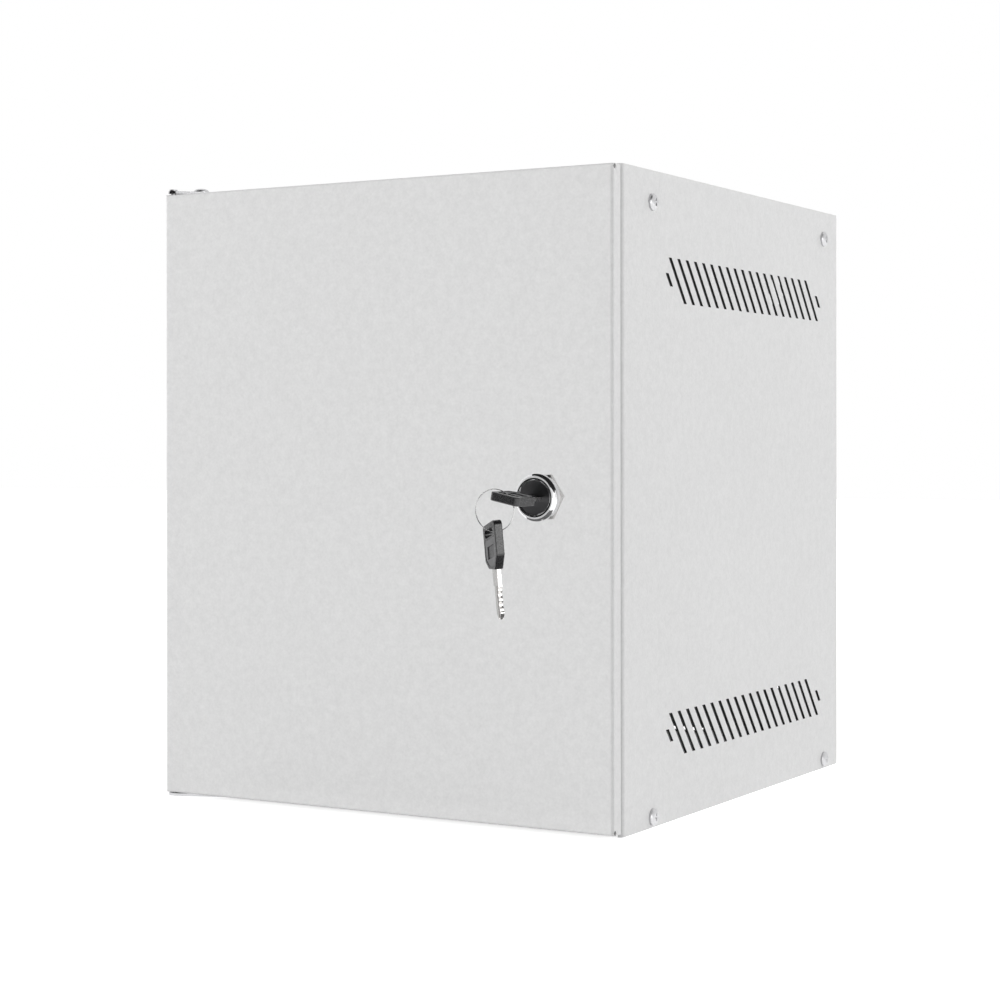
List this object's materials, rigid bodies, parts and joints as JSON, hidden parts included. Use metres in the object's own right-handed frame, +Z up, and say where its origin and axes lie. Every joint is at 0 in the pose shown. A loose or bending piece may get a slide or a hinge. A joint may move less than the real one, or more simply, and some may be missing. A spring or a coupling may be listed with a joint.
{
  "type": "network server rack cabinet",
  "caption": "Small grey wall cabinet for 10-inch network equipment, with a hinged steel door, vented side panels, rack rails, and a cam lock holding a key and its spare on a ring.",
  "frame": {"origin": "centre of the four wall fixings, on the rear panel's outer skin, at mid-height of the cabinet", "axes": "+Y into the wall, +Z up, +X to the right of someone facing the door; the door faces -Y"},
  "size_m": [0.2846, 0.351, 0.3414],
  "materials": {
    "powder_coat": "light grey powder coat, fine orange peel, semi-matt",
    "rail_zinc": "zinc-plated steel sheet",
    "zinc_fastener": "zinc-plated",
    "satin_nickel": "satin nickel",
    "chrome_bezel": "polished chrome",
    "dark_plug": "dark polished nickel",
    "key_plastic": "moulded black plastic, satin",
    "key_nickel": "nickel-plated brass, milled",
    "ring_steel": "bright spring-steel wire",
    "black_trim": "soft black edge trim",
    "black_rubber": "black rubber"
  },
  "bodies": {
    "cabinet": {"top_panel": "powder_coat", "bottom_panel": "powder_coat", "left_side_panel": "powder_coat", "right_side_panel": "powder_coat", "rear_panel": "powder_coat", "left_rail": "rail_zinc", "right_rail": "rail_zinc", "rail_studs": "zinc_fastener", "rail_nuts": "zinc_fastener", "earth_stud": "zinc_fastener", "earth_nut": "zinc_fastener", "left_side_screws": "zinc_fastener", "right_side_screws": "zinc_fastener", "side_screw_nuts": "zinc_fastener", "rear_panel_screws": "zinc_fastener", "rear_panel_nuts": "zinc_fastener", "top_cable_trim": "black_trim", "bottom_cable_trim": "black_trim", "rear_cable_trim": "black_trim", "upper_hinge_bracket": "powder_coat", "lower_hinge_bracket": "powder_coat", "upper_hinge_pin": "zinc_fastener", "lower_hinge_pin": "zinc_fastener", "upper_hinge_screws": "zinc_fastener", "lower_hinge_screws": "zinc_fastener", "hinge_nuts": "zinc_fastener", "door_buffers": "black_rubber"},
    "door": {"door_panel": "powder_coat", "upper_hinge_block": "zinc_fastener", "lower_hinge_block": "zinc_fastener", "lock_collar": "satin_nickel", "lock_housing": "chrome_bezel", "lock_nut": "zinc_fastener"},
    "lock_core": {"lock_plug": "dark_plug", "lock_cam": "zinc_fastener", "cam_screw": "zinc_fastener"},
    "key": {"key_bow": "key_plastic", "key_blade": "key_nickel"},
    "ring": {"key_ring": "ring_steel"},
    "spare_key": {"spare_key_bow": "key_plastic", "spare_key_blade": "key_nickel"}
  },
  "joints": [
    {"name": "door_hinge", "type": "hinge", "parent": "cabinet", "child": "door", "pos_m": [-0.1366, -0.3057, 0], "axis": [0, 0, -1], "range_deg": [0, 180]},
    {"name": "lock_turn", "type": "hinge", "parent": "door", "child": "lock_core", "pos_m": [0.1, -0.3088, 0.0013], "axis": [0, -1, 0], "range_deg": [0, 90]},
    {"name": "key_slide", "type": "slide", "parent": "lock_core", "child": "key", "axis": [0, -1, 0], "range_m": [0, 0.018]},
    {"name": "ring_hang", "type": "hinge", "parent": "key", "child": "ring", "pos_m": [0.09232, -0.3435, 0.00265], "axis": [0, -1, 0], "range_deg": [-90, 0]},
    {"name": "spare_swing", "type": "hinge", "parent": "ring", "child": "spare_key", "pos_m": [0.09232, -0.3435, -0.01495], "axis": [0.9976, 0.0698, 0], "range_deg": [-20, 20]}
  ],
  "couplings": [
    {"joint": "ring_hang", "follows": "lock_turn", "ratio": -1}
  ]
}
